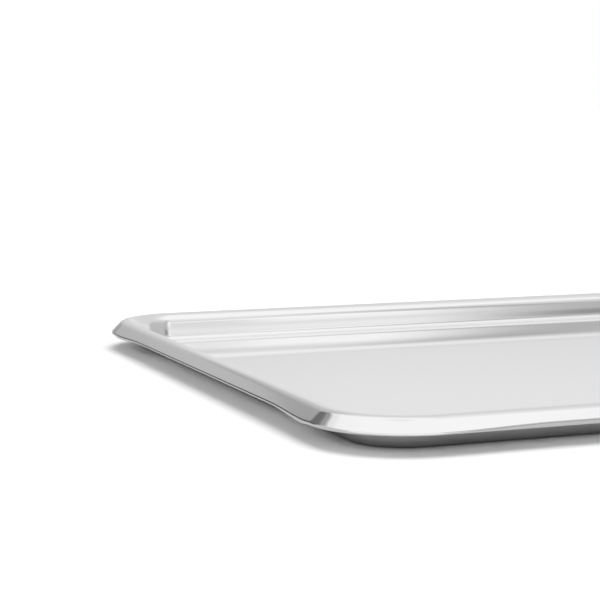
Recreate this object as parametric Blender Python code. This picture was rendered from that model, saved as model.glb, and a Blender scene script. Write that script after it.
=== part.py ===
"""A pastry tray pressed from one stainless-steel sheet.

The flat floor rises through a fillet into a low, slightly bowed wall. The wall rolls over a round
crest and comes down again as a sloping outer panel, whose edge is turned down into a narrow lip that
stiffens it. The lip is deepest along the long sides. Round the corners it is a mere turned edge below
a wider panel, and at both ends of the short sides the panel swells into a small ear, where the sheet
gathered as it was pressed.

Metres, +Z up. The origin is at the middle of the underside, and X is the long way.
"""

import math
from typing import NamedTuple

import bmesh
import bpy

# Overall size, over the rim's outermost points
LENGTH = 0.600
WIDTH = 0.400
RIM_HEIGHT = 0.0164
SHEET = 0.001
CORNER_RADIUS = 0.044

# Shape of the section, on the sheet's upper surface
FLOOR_FILLET_RADIUS = 0.0038
WALL_ANGLE = math.radians(79.0)
WALL_BOW_RADIUS = 0.055
WALL_TOP_ANGLE = math.radians(74.0)
INNER_CREST_RADIUS = 0.0078
OUTER_CREST_RADIUS = 0.0058
PANEL_ANGLE = math.radians(46.0)
LIP_BEND_RADIUS = 0.0013

# Outer panel and lip along the middle of the long sides
LONG_SIDE_PANEL = 0.0046
LONG_SIDE_LIP_TURN = math.radians(48.0)
LONG_SIDE_LIP_DEPTH = 0.0016

# Outer panel and lip along the middle of the short sides
SHORT_SIDE_PANEL = 0.0049
SHORT_SIDE_LIP_TURN = math.radians(46.0)
SHORT_SIDE_LIP_DEPTH = 0.0004

# Outer panel and lip round the corners, from the short side's end to the long side's end
CORNER_LIP_TURN = math.radians(42.0)
SHORT_END_PANEL = 0.0058
SHORT_END_LIP_DEPTH = 0.0009
LONG_END_PANEL = 0.0061
LONG_END_LIP_DEPTH = 0.0004

# Ear near both ends of the short sides
EAR_PANEL = 0.0062
EAR_LIP_DEPTH = 0.0012
EAR_FROM_CORNER = 0.007

# Lengths over which the rim changes along a side
SHORT_SIDE_FADE = 0.044
LONG_SIDE_FADE = 0.056

# Fineness of the mesh
CORNER_SEGMENTS = 10
EAR_SEGMENTS = 3
FADE_SEGMENTS = 6
FILLET_SEGMENTS = 5
WALL_BOW_SEGMENTS = 2
INNER_CREST_SEGMENTS = 6
OUTER_CREST_SEGMENTS = 4
LIP_BEND_SEGMENTS = 3
SHARP_EDGE_ANGLE = math.radians(35.0)

# Finish
STEEL_COLOUR = (0.62, 0.62, 0.61, 1.0)
STEEL_ROUGHNESS = 0.18


class Lip(NamedTuple):
    """How the rim ends at one place: the panel's length, and the turn and depth of the lip on it."""

    panel: float
    turn: float
    depth: float


LONG_SIDE = Lip(LONG_SIDE_PANEL, LONG_SIDE_LIP_TURN, LONG_SIDE_LIP_DEPTH)
SHORT_SIDE = Lip(SHORT_SIDE_PANEL, SHORT_SIDE_LIP_TURN, SHORT_SIDE_LIP_DEPTH)
LONG_END = Lip(LONG_END_PANEL, CORNER_LIP_TURN, LONG_END_LIP_DEPTH)
SHORT_END = Lip(SHORT_END_PANEL, CORNER_LIP_TURN, SHORT_END_LIP_DEPTH)
EAR = Lip(EAR_PANEL, CORNER_LIP_TURN, EAR_LIP_DEPTH)


def clear_scene():
    """Removes what a new Blender scene comes with."""
    for item in list(bpy.data.objects):
        bpy.data.objects.remove(item, do_unlink=True)


def steel_material():
    """The bright, lightly brushed stainless steel of the whole tray."""
    material = bpy.data.materials.new("stainless_steel")
    material.use_nodes = True
    shader = material.node_tree.nodes["Principled BSDF"]
    shader.inputs["Base Color"].default_value = STEEL_COLOUR
    shader.inputs["Roughness"].default_value = STEEL_ROUGHNESS
    shader.inputs["Metallic"].default_value = 1.0
    return material


class SectionPath:
    """Walks along the sheet's upper surface in the section plane.

    Each point is (outward, height, tilt): how far it lies outside the crest line, how high it is,
    and how far the surface's normal leans outwards from straight up, in radians.
    """

    def __init__(self, outward, height, tilt):
        self.points = [(outward, height, tilt)]

    def straight(self, length):
        """Goes on in the same direction, outwards and down by the tilt."""
        outward, height, tilt = self.points[-1]
        outward += length * math.cos(tilt)
        height -= length * math.sin(tilt)
        self.points.append((outward, height, tilt))

    def bend(self, radius, end_tilt, segments):
        """Turns to end_tilt on an arc, convex where the tilt grows and concave where it falls."""
        outward, height, start_tilt = self.points[-1]
        sense = 1.0 if end_tilt > start_tilt else -1.0
        centre_outward = outward - sense * radius * math.sin(start_tilt)
        centre_height = height - sense * radius * math.cos(start_tilt)
        for step in range(1, segments + 1):
            tilt = start_tilt + (end_tilt - start_tilt) * step / segments
            self.points.append((
                centre_outward + sense * radius * math.sin(tilt),
                centre_height + sense * radius * math.cos(tilt),
                tilt,
            ))


def rising_bends():
    """The bends from the floor up to the crest, as (radius, smaller slope, greater slope)."""
    return (
        (FLOOR_FILLET_RADIUS, 0.0, WALL_ANGLE),
        (WALL_BOW_RADIUS, WALL_TOP_ANGLE, WALL_ANGLE),
        (INNER_CREST_RADIUS, 0.0, WALL_TOP_ANGLE),
    )


def wall_foot_length():
    """Length of the wall's straight foot, between its fillet and its bowed part."""
    rise = sum(radius * (math.cos(low) - math.cos(high)) for radius, low, high in rising_bends())
    return (RIM_HEIGHT - SHEET - rise) / math.sin(WALL_ANGLE)


def well_inset():
    """Distance from the crest line in to the edge of the flat floor."""
    run = sum(radius * (math.sin(high) - math.sin(low)) for radius, low, high in rising_bends())
    return run + wall_foot_length() * math.cos(WALL_ANGLE)


def upper_section(lip):
    """The sheet's upper surface from the floor's edge to the lip's end."""
    path = SectionPath(-well_inset(), SHEET, 0.0)
    path.bend(FLOOR_FILLET_RADIUS, -WALL_ANGLE, FILLET_SEGMENTS)
    path.straight(wall_foot_length())
    path.bend(WALL_BOW_RADIUS, -WALL_TOP_ANGLE, WALL_BOW_SEGMENTS)
    path.bend(INNER_CREST_RADIUS, 0.0, INNER_CREST_SEGMENTS)
    path.bend(OUTER_CREST_RADIUS, PANEL_ANGLE, OUTER_CREST_SEGMENTS)
    path.straight(lip.panel)
    path.bend(LIP_BEND_RADIUS, PANEL_ANGLE + lip.turn, LIP_BEND_SEGMENTS)
    path.straight(lip.depth)
    return path.points


def closed_section(lip):
    """Both faces of the sheet as (outward, height), along the top and back underneath."""
    upper = upper_section(lip)
    top = [(outward, height) for outward, height, _ in upper]
    underside = [
        (outward - SHEET * math.sin(tilt), height - SHEET * math.cos(tilt))
        for outward, height, tilt in reversed(upper)
    ]
    return top + underside


def reach(lip):
    """How far the rim stands outside the crest line where it has this lip."""
    return max(outward for outward, _ in closed_section(lip))


def blend(start, end, share):
    """The lip that lies a share of the way from one to another, with level ends."""
    share = min(max(share, 0.0), 1.0)
    share = share * share * (3.0 - 2.0 * share)
    return Lip(*(a + (b - a) * share for a, b in zip(start, end)))


def spread(start, end, steps):
    """Evenly spaced values from start to end, both included."""
    return [start + (end - start) * step / steps for step in range(steps + 1)]


def long_side_lips():
    """(distance from the corner, lip) along a long side, out to where the lip has its full depth."""
    places = spread(0.0, LONG_SIDE_FADE, FADE_SEGMENTS)
    return [(place, blend(LONG_END, LONG_SIDE, place / LONG_SIDE_FADE)) for place in places]


def short_side_lips():
    """(distance from the corner, lip) along a short side, over the ear and on to its plain middle."""
    rising = spread(0.0, EAR_FROM_CORNER, EAR_SEGMENTS)[:-1]
    falling = spread(0.0, SHORT_SIDE_FADE, FADE_SEGMENTS)
    return [
        (place, blend(SHORT_END, EAR, place / EAR_FROM_CORNER)) for place in rising
    ] + [
        (EAR_FROM_CORNER + place, blend(EAR, SHORT_SIDE, place / SHORT_SIDE_FADE)) for place in falling
    ]


def side_stations(half_core, lips):
    """(place along the side, lip) from one corner to the other, with one station at the middle."""
    far_half = [(half_core - from_corner, lip) for from_corner, lip in lips]
    near_half = [(-place, lip) for place, lip in far_half]
    return near_half + [(0.0, lips[-1][1])] + far_half[::-1]


def plan_stations():
    """Stations once round the crest line, anticlockwise from the front side's left end.

    Each station is (x, y, normal_x, normal_y, lip). The crest line is a rectangle with rounded
    corners, and the core is the rectangle between the centres of those corners.
    """
    crest_radius = CORNER_RADIUS - reach(LONG_END)
    core_x = LENGTH / 2.0 - reach(EAR) - crest_radius
    core_y = WIDTH / 2.0 - reach(LONG_END) - crest_radius
    long_side = (core_x, core_y, long_side_lips(), (LONG_END, SHORT_END))
    short_side = (core_y, core_x, short_side_lips(), (SHORT_END, LONG_END))
    stations = []
    for quarter, side in enumerate((long_side, short_side, long_side, short_side)):
        core_along, core_across, lips, corner_lips = side
        turn = quarter * math.pi / 2.0
        outward = (math.sin(turn), -math.cos(turn))
        for place, lip in side_stations(core_along, lips):
            x = place * math.cos(turn) + (core_across + crest_radius) * outward[0]
            y = place * math.sin(turn) + (core_across + crest_radius) * outward[1]
            stations.append((x, y, *outward, lip))
        centre = (
            core_along * math.cos(turn) + core_across * outward[0],
            core_along * math.sin(turn) + core_across * outward[1],
        )
        stations.extend(corner_stations(centre, turn, crest_radius, corner_lips))
    return stations


def corner_stations(centre, start_turn, crest_radius, lips):
    """Stations between one side and the next, on the corner's arc and without its two ends."""
    stations = []
    for step in range(1, CORNER_SEGMENTS):
        share = step / CORNER_SEGMENTS
        turn = start_turn + share * math.pi / 2.0
        normal = (math.sin(turn), -math.cos(turn))
        x = centre[0] + crest_radius * normal[0]
        y = centre[1] + crest_radius * normal[1]
        stations.append((x, y, *normal, blend(*lips, share)))
    return stations


def add_ring(bm, stations, sections, index):
    """One closed ring of vertices and edges round the tray, at one point of the section."""
    verts = []
    for (x, y, normal_x, normal_y, _), section in zip(stations, sections):
        outward, height = section[index]
        verts.append(bm.verts.new((x + normal_x * outward, y + normal_y * outward, height)))
    return [bm.edges.new((verts[i - 1], verts[i])) for i in range(len(verts))]


def build_tray():
    """The whole tray, lofted ring by ring from the floor's edge over the rim and back underneath."""
    stations = plan_stations()
    sections = [closed_section(lip) for *_, lip in stations]
    bm = bmesh.new()
    rings = [add_ring(bm, stations, sections, index) for index in range(len(sections[0]))]
    for ring, following in zip(rings, rings[1:]):
        bmesh.ops.bridge_loops(bm, edges=ring + following)
    for ring in (rings[0], rings[-1]):
        bmesh.ops.contextual_create(bm, geom=ring)
    bmesh.ops.recalc_face_normals(bm, faces=bm.faces)
    mesh = bpy.data.meshes.new("tray_sheet")
    bm.to_mesh(mesh)
    bm.free()
    mesh.shade_smooth()
    mesh.set_sharp_from_angle(angle=SHARP_EDGE_ANGLE)
    mesh.materials.append(steel_material())
    tray = bpy.data.objects.new("tray_sheet", mesh)
    bpy.context.collection.objects.link(tray)
    return tray


clear_scene()
build_tray()
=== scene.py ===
"""Looks for a pastry tray pressed from one sheet of bright stainless steel.

The tray is one piece: floor, fillet, wall, round crest, sloping outer panel and turned-down lip.
It is built here as a finer version of the CAD sheet, ring by ring from the floor outwards, and it
stands on a white table. The steel is nearly a mirror, so the studio is a room of soft grey walls
that only the steel's reflections see, while the table gets plain light.

Metres, +Z up. The origin is at the middle of the tray's underside, and X is the long way.
"""

from __future__ import annotations

import logging
import math
from dataclasses import dataclass, field
from enum import Enum
from functools import cache, cached_property
from typing import Any

import bmesh
import bpy
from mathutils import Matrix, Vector


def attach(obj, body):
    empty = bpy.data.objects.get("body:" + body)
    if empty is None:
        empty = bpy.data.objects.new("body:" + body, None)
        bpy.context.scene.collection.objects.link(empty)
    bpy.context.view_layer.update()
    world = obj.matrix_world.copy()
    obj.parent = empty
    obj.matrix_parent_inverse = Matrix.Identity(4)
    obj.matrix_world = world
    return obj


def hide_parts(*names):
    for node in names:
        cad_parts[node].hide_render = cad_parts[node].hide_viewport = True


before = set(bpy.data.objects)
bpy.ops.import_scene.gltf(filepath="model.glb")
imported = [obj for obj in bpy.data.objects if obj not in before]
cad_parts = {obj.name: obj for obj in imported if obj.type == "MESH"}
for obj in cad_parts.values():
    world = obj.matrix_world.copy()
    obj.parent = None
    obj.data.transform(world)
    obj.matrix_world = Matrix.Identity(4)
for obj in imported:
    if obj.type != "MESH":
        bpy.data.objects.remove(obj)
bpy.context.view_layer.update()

log = logging.getLogger("pastry_tray")

PHOTO_SIDE_PX = 600
SENSOR_WIDTH_MM = 36.0
QUARTER_TURN = 90.0
HALF_TURN = 180.0


# Shader maths


class Value:
    """One number in a shader, which Python's operators work on."""

    def __init__(self, bench: ShaderBench, socket: bpy.types.NodeSocket) -> None:
        """Wraps a socket of the bench's node tree."""
        self.bench = bench
        self.socket = socket

    def _math(self, operation: str, first: Operand, second: Operand) -> Value:
        """Adds one Math node that works on two operands."""
        return self.bench.value("ShaderNodeMath", {"operation": operation}, {0: first, 1: second})

    def __add__(self, other: Operand) -> Value:
        """self + other."""
        return self._math("ADD", self, other)

    def __radd__(self, other: Operand) -> Value:
        """other + self."""
        return self._math("ADD", other, self)

    def __sub__(self, other: Operand) -> Value:
        """self - other."""
        return self._math("SUBTRACT", self, other)

    def __rsub__(self, other: Operand) -> Value:
        """other - self."""
        return self._math("SUBTRACT", other, self)

    def __mul__(self, other: Operand) -> Value:
        """self * other."""
        return self._math("MULTIPLY", self, other)

    def __rmul__(self, other: Operand) -> Value:
        """other * self."""
        return self._math("MULTIPLY", other, self)

    def __truediv__(self, other: Operand) -> Value:
        """self / other."""
        return self._math("DIVIDE", self, other)


Operand = Value | float


class ShaderBench:
    """Adds nodes to one node tree."""

    def __init__(self, tree: bpy.types.NodeTree) -> None:
        """Keeps the tree that the nodes go into."""
        self.tree = tree

    def node(
        self,
        kind: str,
        settings: dict[str, Any] | None = None,
        inputs: dict[int | str, Any] | None = None,
    ) -> bpy.types.Node:
        """Adds a node.

        Args:
            kind: The node's type, such as ShaderNodeMath.
            settings: Its properties, set first. "stops" gives a colour ramp's (position, level)
                pairs.
            inputs: What goes into its sockets: a number, a tuple, a socket or a Value.

        Returns:
            The new node.
        """
        node = self.tree.nodes.new(kind)
        for name, value in (settings or {}).items():
            if name == "stops":
                self._fill_ramp(node.color_ramp, value)
            else:
                setattr(node, name, value)
        for name, value in (inputs or {}).items():
            self.feed(node.inputs[name], value)
        return node

    def feed(self, socket: bpy.types.NodeSocket, value: Any) -> None:
        """Links a Value or a socket into a socket, or sets that socket to a constant.

        Args:
            socket: The input that is fed.
            value: A number, a tuple, a socket or a Value.
        """
        source = value.socket if isinstance(value, Value) else value
        if isinstance(source, bpy.types.NodeSocket):
            self.tree.links.new(source, socket)
        else:
            socket.default_value = source

    def value(
        self,
        kind: str,
        settings: dict[str, Any] | None = None,
        inputs: dict[int | str, Any] | None = None,
        output: int | str = 0,
    ) -> Value:
        """Adds a node and returns one of its outputs as a Value."""
        return Value(self, self.node(kind, settings, inputs).outputs[output])

    def grey(self, level: Value) -> bpy.types.NodeSocket:
        """Makes a grey of this level."""
        return self.node("ShaderNodeCombineColor", inputs={0: level, 1: level, 2: level}).outputs[0]

    def step(self, value: Operand, low: float, high: float) -> Value:
        """Rises smoothly from 0 at low to 1 at high."""
        return self.value(
            "ShaderNodeMapRange",
            {"interpolation_type": "SMOOTHSTEP"},
            {"Value": value, "From Min": low, "From Max": high},
        )

    @staticmethod
    def _fill_ramp(ramp: bpy.types.ColorRamp, stops: list[tuple[float, float]]) -> None:
        """Sets a ramp's stops to grey levels, eased from one to the next.

        Args:
            ramp: The new ramp of a node.
            stops: The (position, level) pairs, both from 0 to 1, in order of position.
        """
        ramp.interpolation = "EASE"
        while len(ramp.elements) < len(stops):
            ramp.elements.new(1.0)
        for element, (position, level) in zip(ramp.elements, stops):
            element.position = position
            element.color = (level, level, level, 1.0)


# Finishes


@dataclass(frozen=True)
class BrightSteel:
    """Bright rolled stainless steel: nearly a mirror, with a faint rolled grain and light use.

    The grain, smudges and ripples lie on the unrolled sheet, with the grain along the tray.
    """

    NOISE_MIDDLE = 0.5

    colour: tuple[float, float, float, float] = (0.90, 0.90, 0.90, 1.0)
    metallic: float = 1.0
    roughness: float = 0.06
    roughness_spread: float = 0.03
    grain_size: tuple[float, float] = (0.060, 0.0006)
    grain_detail: float = 3.0
    grain_height: float = 0.0000003
    smudge_size: tuple[float, float] = (0.07, 0.045)
    smudge_detail: float = 4.0
    ripple_size: tuple[float, float] = (0.09, 0.09)
    ripple_detail: float = 1.0
    ripple_height: float = 0.00002

    def material(self, name: str) -> bpy.types.Material:
        """Builds the node material on the sheet's unrolled coordinates.

        Args:
            name: The material's name.

        Returns:
            The material.
        """
        steel = bpy.data.materials.new(name)
        steel.use_nodes = True
        bench = ShaderBench(steel.node_tree)
        shader = steel.node_tree.nodes["Principled BSDF"]
        shader.inputs["Base Color"].default_value = self.colour
        shader.inputs["Metallic"].default_value = self.metallic
        sheet = bench.node("ShaderNodeUVMap", {"uv_map": TraySheet.UNROLLED}).outputs[0]

        grain = self._noise(bench, sheet, self.grain_size, self.grain_detail)
        smudge = self._noise(bench, sheet, self.smudge_size, self.smudge_detail)
        rough = (
            self.roughness
            + (grain - self.NOISE_MIDDLE) * self.roughness_spread
            + (smudge - self.NOISE_MIDDLE) * self.roughness_spread
        )
        ripple = self._noise(bench, sheet, self.ripple_size, self.ripple_detail)
        height = ripple * self.ripple_height + grain * self.grain_height
        # At a distance of 1, the height is in metres.
        bump = bench.node(
            "ShaderNodeBump", inputs={"Strength": 1.0, "Distance": 1.0, "Height": height}
        )
        bench.feed(shader.inputs["Roughness"], rough)
        bench.feed(shader.inputs["Normal"], bump.outputs[0])
        return steel

    @staticmethod
    def _noise(
        bench: ShaderBench, sheet: bpy.types.NodeSocket, size: tuple[float, float], detail: float
    ) -> Value:
        """Makes cloudy noise from 0 to 1.

        Args:
            bench: The material's bench.
            sheet: The unrolled sheet's coordinates.
            size: How long and how wide the noise's cells are, along and across the tray.
            detail: How many finer layers the noise has.

        Returns:
            The noise.
        """
        scale = (1.0 / size[0], 1.0 / size[1], 1.0)
        place = bench.node("ShaderNodeMapping", inputs={"Vector": sheet, "Scale": scale})
        return bench.value(
            "ShaderNodeTexNoise",
            inputs={"Vector": place.outputs[0], "Scale": 1.0, "Detail": detail},
        )


@dataclass(frozen=True)
class TableTop:
    """The plain white table, with its colour to the lamps, to the camera and to the steel."""

    colour: float = 0.80
    seen_colour: float = 0.95
    mirrored_colour: float = 0.47
    roughness: float = 0.9
    specular: float = 0.0

    def material(self, name: str) -> bpy.types.Material:
        """Builds a matt white that the camera sees as pure white outside the tray's shadow.

        Args:
            name: The material's name.

        Returns:
            The material.
        """
        white = bpy.data.materials.new(name)
        white.use_nodes = True
        bench = ShaderBench(white.node_tree)
        path = bench.node("ShaderNodeLightPath")
        seen = Value(bench, path.outputs["Is Camera Ray"])
        mirrored = Value(bench, path.outputs["Is Glossy Ray"])
        level = self.colour + seen * (self.seen_colour - self.colour)
        level = level + mirrored * (self.mirrored_colour - self.colour)
        shader = white.node_tree.nodes["Principled BSDF"]
        shader.inputs["Roughness"].default_value = self.roughness
        shader.inputs["Specular IOR Level"].default_value = self.specular
        bench.feed(shader.inputs["Base Color"], bench.grey(level))
        return white


# The tray


class SectionPath:
    """Walks along the sheet's upper surface in the section plane.

    Each point is (outward, height, tilt): how far it lies outside the crest line, how high it is,
    and how far the surface's normal leans outwards from straight up, in radians.
    """

    def __init__(self, outward: float, height: float, tilt: float) -> None:
        """Starts at one point."""
        self.points: list[tuple[float, float, float]] = [(outward, height, tilt)]

    def straight(self, length: float, segments: int = 1) -> None:
        """Goes on in the same direction, outwards and down by the tilt.

        Args:
            length: How far to go.
            segments: How many points to add on the way.
        """
        start_outward, start_height, tilt = self.points[-1]
        for step in range(1, segments + 1):
            reach = length * step / segments
            self.points.append((
                start_outward + reach * math.cos(tilt),
                start_height - reach * math.sin(tilt),
                tilt,
            ))

    def bend(self, radius: float, end_tilt: float, segments: int) -> None:
        """Turns on an arc, convex where the tilt grows and concave where it falls.

        Args:
            radius: The arc's radius.
            end_tilt: The tilt at the arc's end, in radians.
            segments: How many points to add on the arc.
        """
        outward, height, start_tilt = self.points[-1]
        sense = 1.0 if end_tilt > start_tilt else -1.0
        centre_outward = outward - sense * radius * math.sin(start_tilt)
        centre_height = height - sense * radius * math.cos(start_tilt)
        for step in range(1, segments + 1):
            tilt = start_tilt + (end_tilt - start_tilt) * step / segments
            self.points.append((
                centre_outward + sense * radius * math.sin(tilt),
                centre_height + sense * radius * math.cos(tilt),
                tilt,
            ))


@dataclass(frozen=True)
class LipShape:
    """How the rim ends at one place: the sloping panel's length, and the lip's turn and depth."""

    SHARE_DIGITS = 4

    panel_length: float
    turn: float
    depth: float

    def towards(self, other: LipShape, share: float) -> LipShape:
        """Finds a shape between this one and another, with a level start and end.

        Args:
            other: The shape at a share of 1.
            share: How far to go, kept to 0..1 and rounded so that like places share a section.

        Returns:
            The shape between.
        """
        share = round(min(max(share, 0.0), 1.0), self.SHARE_DIGITS)
        share = share * share * (3.0 - 2.0 * share)
        return LipShape(
            self.panel_length + (other.panel_length - self.panel_length) * share,
            self.turn + (other.turn - self.turn) * share,
            self.depth + (other.depth - self.depth) * share,
        )


@dataclass(frozen=True)
class RimSection:
    """The shape of the sheet's section, measured on its upper surface, with angles in radians."""

    rim_height: float = 0.0164
    sheet: float = 0.001
    floor_margin: float = 0.0006
    fillet_radius: float = 0.0038
    wall_angle: float = math.radians(79.0)
    wall_bow_radius: float = 0.055
    wall_top_angle: float = math.radians(74.0)
    crest_radius: float = 0.0078
    outer_crest_radius: float = 0.0058
    panel_angle: float = math.radians(46.0)
    lip_bend_radius: float = 0.0013
    edge_radius: float = 0.0002

    fillet_segments: int = 20
    foot_segments: int = 2
    bow_segments: int = 10
    crest_segments: int = 20
    outer_crest_segments: int = 14
    panel_segments: int = 4
    lip_bend_segments: int = 12
    lip_segments: int = 2
    edge_segments: int = 4

    def _bends(self) -> tuple[tuple[float, float, float], ...]:
        """The bends from the floor up to the crest, as (radius, start tilt, end tilt)."""
        return (
            (self.fillet_radius, 0.0, self.wall_angle),
            (self.wall_bow_radius, self.wall_top_angle, self.wall_angle),
            (self.crest_radius, 0.0, self.wall_top_angle),
        )

    def wall_length(self) -> float:
        """Length of the wall's straight foot, between its fillet and its bowed part."""
        rise = sum(radius * (math.cos(low) - math.cos(high)) for radius, low, high in self._bends())
        return (self.rim_height - self.sheet - rise) / math.sin(self.wall_angle)

    def well_inset(self) -> float:
        """Distance from the crest line in to the edge of the flat floor."""
        run = sum(radius * (math.sin(high) - math.sin(low)) for radius, low, high in self._bends())
        return run + self.wall_length() * math.cos(self.wall_angle)

    def upper(self, lip: LipShape) -> SectionPath:
        """The sheet's upper surface from just inside the floor's edge to the cut edge.

        Args:
            lip: The shape of the rim's end here.

        Returns:
            The path, whose number of points is the same for every lip.
        """
        path = SectionPath(-self.well_inset() - self.floor_margin, self.sheet, 0.0)
        path.straight(self.floor_margin)
        path.bend(self.fillet_radius, -self.wall_angle, self.fillet_segments)
        path.straight(self.wall_length(), self.foot_segments)
        path.bend(self.wall_bow_radius, -self.wall_top_angle, self.bow_segments)
        path.bend(self.crest_radius, 0.0, self.crest_segments)
        path.bend(self.outer_crest_radius, self.panel_angle, self.outer_crest_segments)
        path.straight(lip.panel_length, self.panel_segments)
        path.bend(self.lip_bend_radius, self.panel_angle + lip.turn, self.lip_bend_segments)
        path.straight(lip.depth - self.edge_radius, self.lip_segments)
        return path

    @cache
    def closed(self, lip: LipShape) -> list[tuple[float, float]]:
        """Both faces of the sheet, out along the top, round the cut edge and back underneath.

        Args:
            lip: The shape of the rim's end here.

        Returns:
            The points as (outward, height).
        """
        path = self.upper(lip)
        upper = list(path.points)
        end_tilt = upper[-1][2]
        path.bend(self.edge_radius, end_tilt + math.pi / 2.0, self.edge_segments)
        path.straight(self.sheet - 2.0 * self.edge_radius)
        path.bend(self.edge_radius, end_tilt + math.pi, self.edge_segments)
        top_and_edge = [(outward, height) for outward, height, _ in path.points]
        underside = [
            (outward - self.sheet * math.sin(tilt), height - self.sheet * math.cos(tilt))
            for outward, height, tilt in reversed(upper[:-1])
        ]
        return top_and_edge + underside

    @cache
    def reach(self, lip: LipShape) -> float:
        """How far the sheet stands outside the crest line where it has this lip."""
        return max(outward for outward, _ in self.closed(lip))


@dataclass
class TraySheet:
    """The whole tray, extruded ring by ring from the floor over the rim and back underneath."""

    NAME = "pressed_sheet"
    UNROLLED = "unrolled"
    STRAIGHT_TOLERANCE = 1e-4
    CUT_TOLERANCE = 1e-6

    length: float = 0.600
    width: float = 0.400
    corner_radius: float = 0.044
    long_side: LipShape = LipShape(panel_length=0.0046, turn=math.radians(48.0), depth=0.0016)
    short_side: LipShape = LipShape(panel_length=0.0049, turn=math.radians(46.0), depth=0.0004)
    long_end: LipShape = LipShape(panel_length=0.0061, turn=math.radians(42.0), depth=0.0004)
    short_end: LipShape = LipShape(panel_length=0.0058, turn=math.radians(42.0), depth=0.0009)
    ear: LipShape = LipShape(panel_length=0.0062, turn=math.radians(42.0), depth=0.0012)
    ear_from_corner: float = 0.007
    short_side_fade: float = 0.044
    long_side_fade: float = 0.056
    section: RimSection = field(default_factory=RimSection)
    finish: BrightSteel = field(default_factory=BrightSteel)
    corner_segments: int = 40
    side_segments: int = 6
    fade_step: float = 0.0022
    corner_margin: float = 0.0008

    def build(self) -> bpy.types.Object:
        """Builds the tray, dresses it and ties it to the frame.

        Returns:
            The tray's object.
        """
        bm = bmesh.new()
        self._floor(bm)
        self._rings(bm)
        bmesh.ops.recalc_face_normals(bm, faces=bm.faces)
        self._unroll(bm)
        mesh = bpy.data.meshes.new(self.NAME)
        bm.to_mesh(mesh)
        bm.free()
        mesh.shade_smooth()
        mesh.materials.append(self.finish.material("bright_steel"))
        piece = bpy.data.objects.new(self.NAME, mesh)
        bpy.context.collection.objects.link(piece)
        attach(piece, "root")
        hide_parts("tray_sheet")
        return piece

    @cached_property
    def _crest_radius(self) -> float:
        """Corner radius of the crest line."""
        return self.corner_radius - self.section.reach(self.long_end)

    @cached_property
    def _half_core(self) -> tuple[float, float]:
        """Half sizes of the rectangle whose corners are the centres of the tray's corners."""
        return (
            self.length / 2.0 - self.section.reach(self.ear) - self._crest_radius,
            self.width / 2.0 - self.corner_radius,
        )

    def _station(self, place: Vector) -> tuple[Vector, Vector, LipShape]:
        """Finds where a point stands round the tray.

        Args:
            place: A point outside the core rectangle.

        Returns:
            The nearest point of the core rectangle, the outward direction there, and the rim's
            shape.
        """
        half_x, half_y = self._half_core
        nearest = Vector(
            (min(max(place.x, -half_x), half_x), min(max(place.y, -half_y), half_y), 0.0)
        )
        outward = Vector((place.x - nearest.x, place.y - nearest.y, 0.0)).normalized()
        if min(abs(outward.x), abs(outward.y)) > self.STRAIGHT_TOLERANCE:
            turn = math.atan2(abs(outward.y), abs(outward.x)) / (math.pi / 2.0)
            return nearest, outward, self.short_end.towards(self.long_end, turn)
        if abs(outward.y) > abs(outward.x):
            return nearest, outward, self._long_side_lip(half_x - abs(place.x))
        return nearest, outward, self._short_side_lip(half_y - abs(place.y))

    def _long_side_lip(self, from_corner: float) -> LipShape:
        """The rim's shape along a long side, by the distance from its corner's start."""
        return self.long_end.towards(self.long_side, from_corner / self.long_side_fade)

    def _short_side_lip(self, from_corner: float) -> LipShape:
        """The rim's shape along a short side, where the panel swells out into an ear.

        Args:
            from_corner: The distance from the corner's start.

        Returns:
            The shape there.
        """
        if from_corner < self.ear_from_corner:
            return self.short_end.towards(self.ear, from_corner / self.ear_from_corner)
        share = (from_corner - self.ear_from_corner) / self.short_side_fade
        return self.ear.towards(self.short_side, share)

    def _floor(self, bm: bmesh.types.BMesh) -> None:
        """Makes the flat floor with rounded corners, cut where the rim's shape changes.

        Args:
            bm: The empty mesh that the floor goes into.
        """
        half_x, half_y = self._half_core
        radius = self._crest_radius + self.section.closed(self.short_side)[0][0]
        bmesh.ops.create_grid(bm, x_segments=1, y_segments=1, size=1.0)
        bmesh.ops.scale(bm, vec=(half_x + radius, half_y + radius, 1.0), verts=bm.verts)
        bmesh.ops.translate(bm, vec=(0.0, 0.0, self.section.sheet), verts=bm.verts)
        bmesh.ops.bevel(
            bm,
            geom=list(bm.verts),
            offset=radius,
            offset_type="OFFSET",
            segments=self.corner_segments,
            profile=0.5,
            affect="VERTICES",
            material=-1,
        )
        for axis, core, fade in (
            (Vector((1.0, 0.0, 0.0)), half_x, self.long_side_fade),
            (Vector((0.0, 1.0, 0.0)), half_y, self.ear_from_corner + self.short_side_fade),
        ):
            for cut in self._cuts(core, core - fade):
                bmesh.ops.bisect_plane(
                    bm,
                    geom=list(bm.verts) + list(bm.edges) + list(bm.faces),
                    dist=self.CUT_TOLERANCE,
                    plane_co=axis * cut,
                    plane_no=axis,
                )

    def _cuts(self, core: float, full_lip: float) -> list[float]:
        """Places the cuts across one pair of sides.

        Args:
            core: Half the core rectangle's size along those sides.
            full_lip: How far from the middle the sides keep their own lip's shape.

        Returns:
            The cuts' places from the middle, both ways, close together where the shape changes.
        """
        outer = core - self.corner_margin
        fade = round((outer - full_lip) / self.fade_step)
        places = [full_lip + (outer - full_lip) * step / fade for step in range(fade + 1)]
        places += [full_lip * step / self.side_segments for step in range(1, self.side_segments)]
        return [0.0] + places + [-place for place in places]

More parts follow.
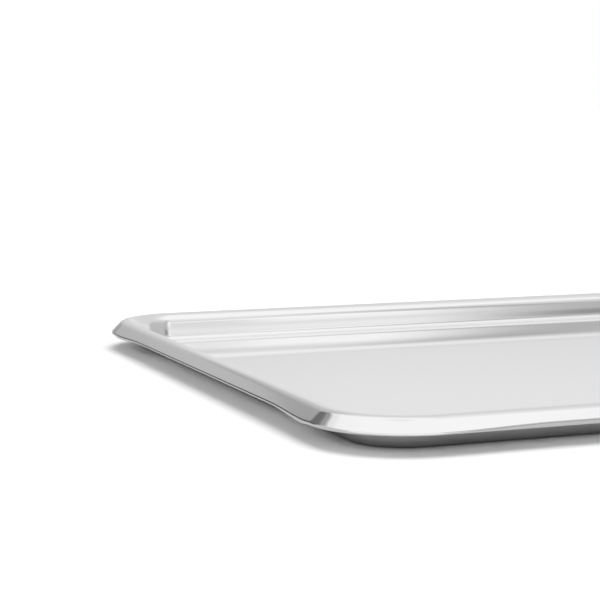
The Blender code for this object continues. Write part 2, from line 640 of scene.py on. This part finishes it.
    def _rings(self, bm: bmesh.types.BMesh) -> None:
        """Extrudes the floor's outline over the rim and back underneath, and closes the underside.

        Args:
            bm: The mesh that holds the floor.
        """
        outline = [edge for edge in bm.edges if edge.is_boundary]
        count = len(self.section.closed(self.short_side))
        for ring in range(1, count):
            made = bmesh.ops.extrude_edge_only(bm, edges=outline)["geom"]
            for vert in (item for item in made if isinstance(item, bmesh.types.BMVert)):
                nearest, outward, lip = self._station(vert.co)
                reach, height = self.section.closed(lip)[ring]
                vert.co = nearest + outward * (self._crest_radius + reach)
                vert.co.z = height
            edges = (item for item in made if isinstance(item, bmesh.types.BMEdge))
            outline = [edge for edge in edges if edge.is_boundary]
        bmesh.ops.contextual_create(bm, geom=outline)

    def _unroll(self, bm: bmesh.types.BMesh) -> None:
        """Gives every corner its place on the flat sheet, in metres, for the grain to follow.

        Args:
            bm: The finished mesh.
        """
        layer = bm.loops.layers.uv.new(self.UNROLLED)
        for face in bm.faces:
            for loop in face.loops:
                place = loop.vert.co
                nearest, outward, _ = self._station(place)
                drop = self.section.rim_height - place.z
                beyond = (place.xy - nearest.xy).length - self._crest_radius
                loop[layer].uv = place.xy + outward.xy * math.copysign(drop, beyond)


# The studio


Levels = tuple[tuple[float, float], ...]


class Wall(Enum):
    """The walls that the steel mirrors, each as its (elevation in degrees, brightness) pairs."""

    BEHIND = (
        (-90.0, 0.6), (0.0, 0.78), (7.4, 0.74), (8.0, 0.76), (8.7, 0.80), (9.6, 0.83),
        (14.0, 0.80), (24.0, 0.74), (40.0, 0.73), (50.0, 0.76), (56.0, 0.81), (62.0, 0.90),
    )
    RIGHT = (
        (-90.0, 0.6), (2.0, 0.53), (25.0, 0.555), (38.0, 0.665), (46.0, 0.74), (52.0, 0.82),
        (57.0, 1.0), (60.0, 1.02),
    )
    GAP = (
        (-90.0, 0.5), (2.0, 0.276), (12.0, 0.30), (13.5, 0.35), (16.0, 0.50), (23.0, 0.50),
        (27.0, 0.505), (30.0, 0.51), (32.0, 0.50), (34.0, 0.44), (38.0, 0.47), (45.0, 0.58),
        (50.0, 0.78), (56.0, 0.93),
    )
    CAMERA_SIDE = (
        (-90.0, 0.6), (4.0, 0.90), (13.0, 0.93), (15.0, 0.86), (17.0, 0.82), (20.0, 0.97),
        (23.0, 0.97), (27.5, 1.04), (31.0, 1.06), (33.0, 0.94), (36.5, 0.77), (40.0, 0.80),
        (50.0, 0.87), (60.0, 0.97),
    )
    SHADE = (
        (-90.0, 0.6), (4.0, 0.85), (13.0, 0.87), (15.0, 0.85), (17.0, 0.80), (20.0, 0.77),
        (23.0, 0.77), (27.5, 0.90), (31.0, 0.92), (33.0, 0.84), (36.5, 0.72), (40.0, 0.74),
        (50.0, 0.87), (60.0, 0.97),
    )
    LEFT = (
        (-90.0, 0.5), (0.0, 0.49), (20.0, 0.628), (36.0, 0.655), (41.0, 0.828), (48.0, 0.98),
    )
    DARK = (
        (-90.0, 0.5), (-1.0, 0.355), (1.0, 0.092), (20.0, 0.114), (24.0, 0.156), (30.0, 0.167),
        (32.0, 0.206), (34.0, 0.341), (36.5, 0.334), (38.5, 0.555), (40.0, 0.85), (43.0, 0.87),
        (48.0, 0.96),
    )
    FAR_LEFT = (
        (-90.0, 0.4), (-1.0, 0.25), (12.0, 0.27), (15.5, 0.48), (17.5, 0.52), (19.4, 0.505),
        (20.4, 0.39), (21.3, 0.38), (23.0, 0.45), (34.0, 0.504), (43.0, 0.58), (50.0, 0.81),
        (60.0, 0.94),
    )


@dataclass(frozen=True)
class Join:
    """Where one wall ends and the next begins.

    The heading is in degrees from +Y towards +X, half_width is the half of the stretch over which
    they blend, and lean is how far the join moves for each degree of elevation.
    """

    heading: float
    half_width: float
    lean: float = 0.0


@dataclass(frozen=True)
class Lamp:
    """A large soft lamp far off, which lights the table and isn't mirrored in the steel."""

    name: str
    tilt: tuple[float, float]
    softness: float
    strength: float

    def hang(self) -> bpy.types.Object:
        """Hangs the lamp, tilted from straight above towards +X and towards +Y.

        Returns:
            The lamp's object.
        """
        light = bpy.data.lights.new(self.name, "SUN")
        light.energy = self.strength
        light.angle = self.softness
        lamp = bpy.data.objects.new(self.name, light)
        lamp.rotation_euler = (-self.tilt[1], self.tilt[0], 0.0)
        lamp.visible_glossy = False
        bpy.context.collection.objects.link(lamp)
        return lamp


@dataclass
class Studio:
    """A white table in a room whose walls and ceiling only the steel's reflections see.

    Elevations and headings are in degrees. low_light is a band of light that reaches in under the
    rim: it begins and ends over the given elevations, and going round from behind the tray to
    the camera's side it grows from low_light_behind to 1 as x + y falls over low_light_turns.
    """

    SEAM = 30.0
    FULL_LEVEL = 2.0

    table_size: float = 24.0
    table_cells: int = 4
    plain_light: float = 0.10
    low_light: float = 3.3
    low_light_begins: tuple[float, float] = (17.0, 28.0)
    low_light_ends: tuple[float, float] = (33.0, 43.0)
    low_light_turns: tuple[float, float] = (0.5, -0.5)
    low_light_behind: float = 0.2
    ceiling: Levels = ((68.0, 1.01), (76.0, 1.01), (86.0, 0.90))
    first_wall: Wall = Wall.BEHIND
    later_walls: tuple[tuple[Join, Wall], ...] = (
        (Join(94.0, 8.0), Wall.RIGHT),
        (Join(142.0, 3.0), Wall.GAP),
        (Join(153.5, 3.5, -0.13), Wall.CAMERA_SIDE),
        (Join(161.4, 1.3, -0.13), Wall.SHADE),
        (Join(164.9, 0.6, -0.13), Wall.CAMERA_SIDE),
        (Join(268.0, 8.0), Wall.LEFT),
        (Join(322.0, 4.0), Wall.DARK),
        (Join(346.5, 2.0), Wall.FAR_LEFT),
        (Join(366.0, 19.0), Wall.BEHIND),
    )
    lamps: tuple[Lamp, ...] = (
        Lamp("key", (math.radians(15.0), math.radians(16.0)), math.radians(60.0), 2.15),
    )

    def build(self) -> None:
        """Sets up the table, the lamps and the room that the steel reflects."""
        log.info("%s laid", self._table().name)
        for lamp in self.lamps:
            log.info("%s lamp hung", lamp.hang().name)
        log.info("%s room made", self._room().name)

    def _table(self) -> bpy.types.Object:
        """Lays the white table under the tray.

        Returns:
            The table's object.
        """
        bm = bmesh.new()
        cells = self.table_cells
        bmesh.ops.create_grid(bm, x_segments=cells, y_segments=cells, size=self.table_size / 2.0)
        mesh = bpy.data.meshes.new("table_top")
        bm.to_mesh(mesh)
        bm.free()
        mesh.materials.append(TableTop().material("table_white"))
        table = bpy.data.objects.new("table_top", mesh)
        bpy.context.collection.objects.link(table)
        return table

    def _room(self) -> bpy.types.World:
        """Makes the world: white to the camera, plain light to the table, and walls to the steel.

        Returns:
            The world.
        """
        world = bpy.data.worlds.new("studio")
        bpy.context.scene.world = world
        world.use_nodes = True
        bench = ShaderBench(world.node_tree)
        ray = bench.node("ShaderNodeTexCoord").outputs["Generated"]
        parts = bench.node("ShaderNodeSeparateXYZ", inputs={0: ray})
        x, y, z = (Value(bench, parts.outputs[index]) for index in range(3))
        up = bench.value("ShaderNodeMath", {"operation": "ARCSINE"}, {0: z})
        elevation = up * math.degrees(1.0)
        heading = self._heading(bench, x, y)
        room = self._wall(bench, self.first_wall, elevation)
        for join, wall in self.later_walls:
            place = heading - elevation * join.lean
            past = bench.step(
                place, join.heading - join.half_width, join.heading + join.half_width
            )
            room = room + (self._wall(bench, wall, elevation) - room) * past
        path = bench.node("ShaderNodeLightPath")
        mirrored = Value(bench, path.outputs["Is Glossy Ray"])
        seen = Value(bench, path.outputs["Is Camera Ray"])
        plain = self._plain_light(bench, x + y, elevation)
        light = plain + (room - plain) * mirrored
        light = light + (1.0 - light) * seen
        background = world.node_tree.nodes["Background"]
        bench.feed(background.inputs["Color"], bench.grey(light))
        background.inputs["Strength"].default_value = 1.0
        return world

    def _plain_light(self, bench: ShaderBench, backward: Value, elevation: Value) -> Value:
        """The light that falls on the table: a faint glow and the low band.

        Args:
            bench: The world's bench.
            backward: x + y of the direction, which is greatest behind the tray.
            elevation: The direction's elevation.

        Returns:
            How bright the light from that direction is.
        """
        begun = bench.step(elevation, *self.low_light_begins)
        band = begun - bench.step(elevation, *self.low_light_ends)
        front = bench.step(backward, *self.low_light_turns)
        share = front * (1.0 - self.low_light_behind) + self.low_light_behind
        return self.plain_light + band * share * self.low_light

    def _heading(self, bench: ShaderBench, x: Value, y: Value) -> Value:
        """Turns a direction into its heading from +Y towards +X.

        Args:
            bench: The world's bench.
            x: The direction's x.
            y: The direction's y.

        Returns:
            The heading in degrees, from SEAM to a full turn more.
        """
        turn = math.radians(self.SEAM + HALF_TURN)
        along = x * math.sin(turn) + y * math.cos(turn)
        across = x * math.cos(turn) - y * math.sin(turn)
        angle = bench.value("ShaderNodeMath", {"operation": "ARCTAN2"}, {0: across, 1: along})
        return angle * math.degrees(1.0) + (self.SEAM + HALF_TURN)

    def _wall(self, bench: ShaderBench, wall: Wall, elevation: Value) -> Value:
        """Finds how bright one wall is, with the ceiling above it.

        Args:
            bench: The world's bench.
            wall: The wall.
            elevation: The direction's elevation.

        Returns:
            The wall's brightness there, which a ramp holds as a share of FULL_LEVEL.
        """
        stops = [
            ((angle + QUARTER_TURN) / HALF_TURN, level / self.FULL_LEVEL)
            for angle, level in wall.value + self.ceiling
        ]
        place = elevation / HALF_TURN + QUARTER_TURN / HALF_TURN
        ramp = bench.node("ShaderNodeValToRGB", {"stops": stops}, {0: place})
        return bench.value("ShaderNodeRGBToBW", inputs={0: ramp.outputs[0]}) * self.FULL_LEVEL


@dataclass
class CameraRig:
    """The photograph's camera: low, close to the near left corner, looking in over it."""

    place: tuple[float, float, float] = (-0.5894, -0.8841, 0.1538)
    focal_px: float = 1824.0
    heading: float = math.radians(21.416)
    pitch: float = math.radians(6.568)
    nearest: float = 0.01
    farthest: float = 100.0

    def build(self) -> bpy.types.Object:
        """Places the camera and makes it the scene's camera.

        Returns:
            The camera's object.
        """
        lens = bpy.data.cameras.new("photo_camera")
        lens.sensor_width = SENSOR_WIDTH_MM
        lens.lens = self.focal_px / PHOTO_SIDE_PX * SENSOR_WIDTH_MM
        lens.clip_start = self.nearest
        lens.clip_end = self.farthest
        camera = bpy.data.objects.new("photo_camera", lens)
        camera.location = self.place
        camera.rotation_euler = (math.pi / 2.0 - self.pitch, 0.0, -self.heading)
        bpy.context.collection.objects.link(camera)
        bpy.context.scene.camera = camera
        return camera


def main() -> None:
    """Builds the camera, the studio and the tray."""
    logging.basicConfig(level=logging.INFO, format="%(name)s: %(message)s")
    bpy.context.scene.view_settings.view_transform = "Standard"
    log.info("%s placed", CameraRig().build().name)
    Studio().build()
    tray = TraySheet().build()
    log.info("%s: %d faces", tray.name, len(tray.data.polygons))


if __name__ == "__main__":
    main()
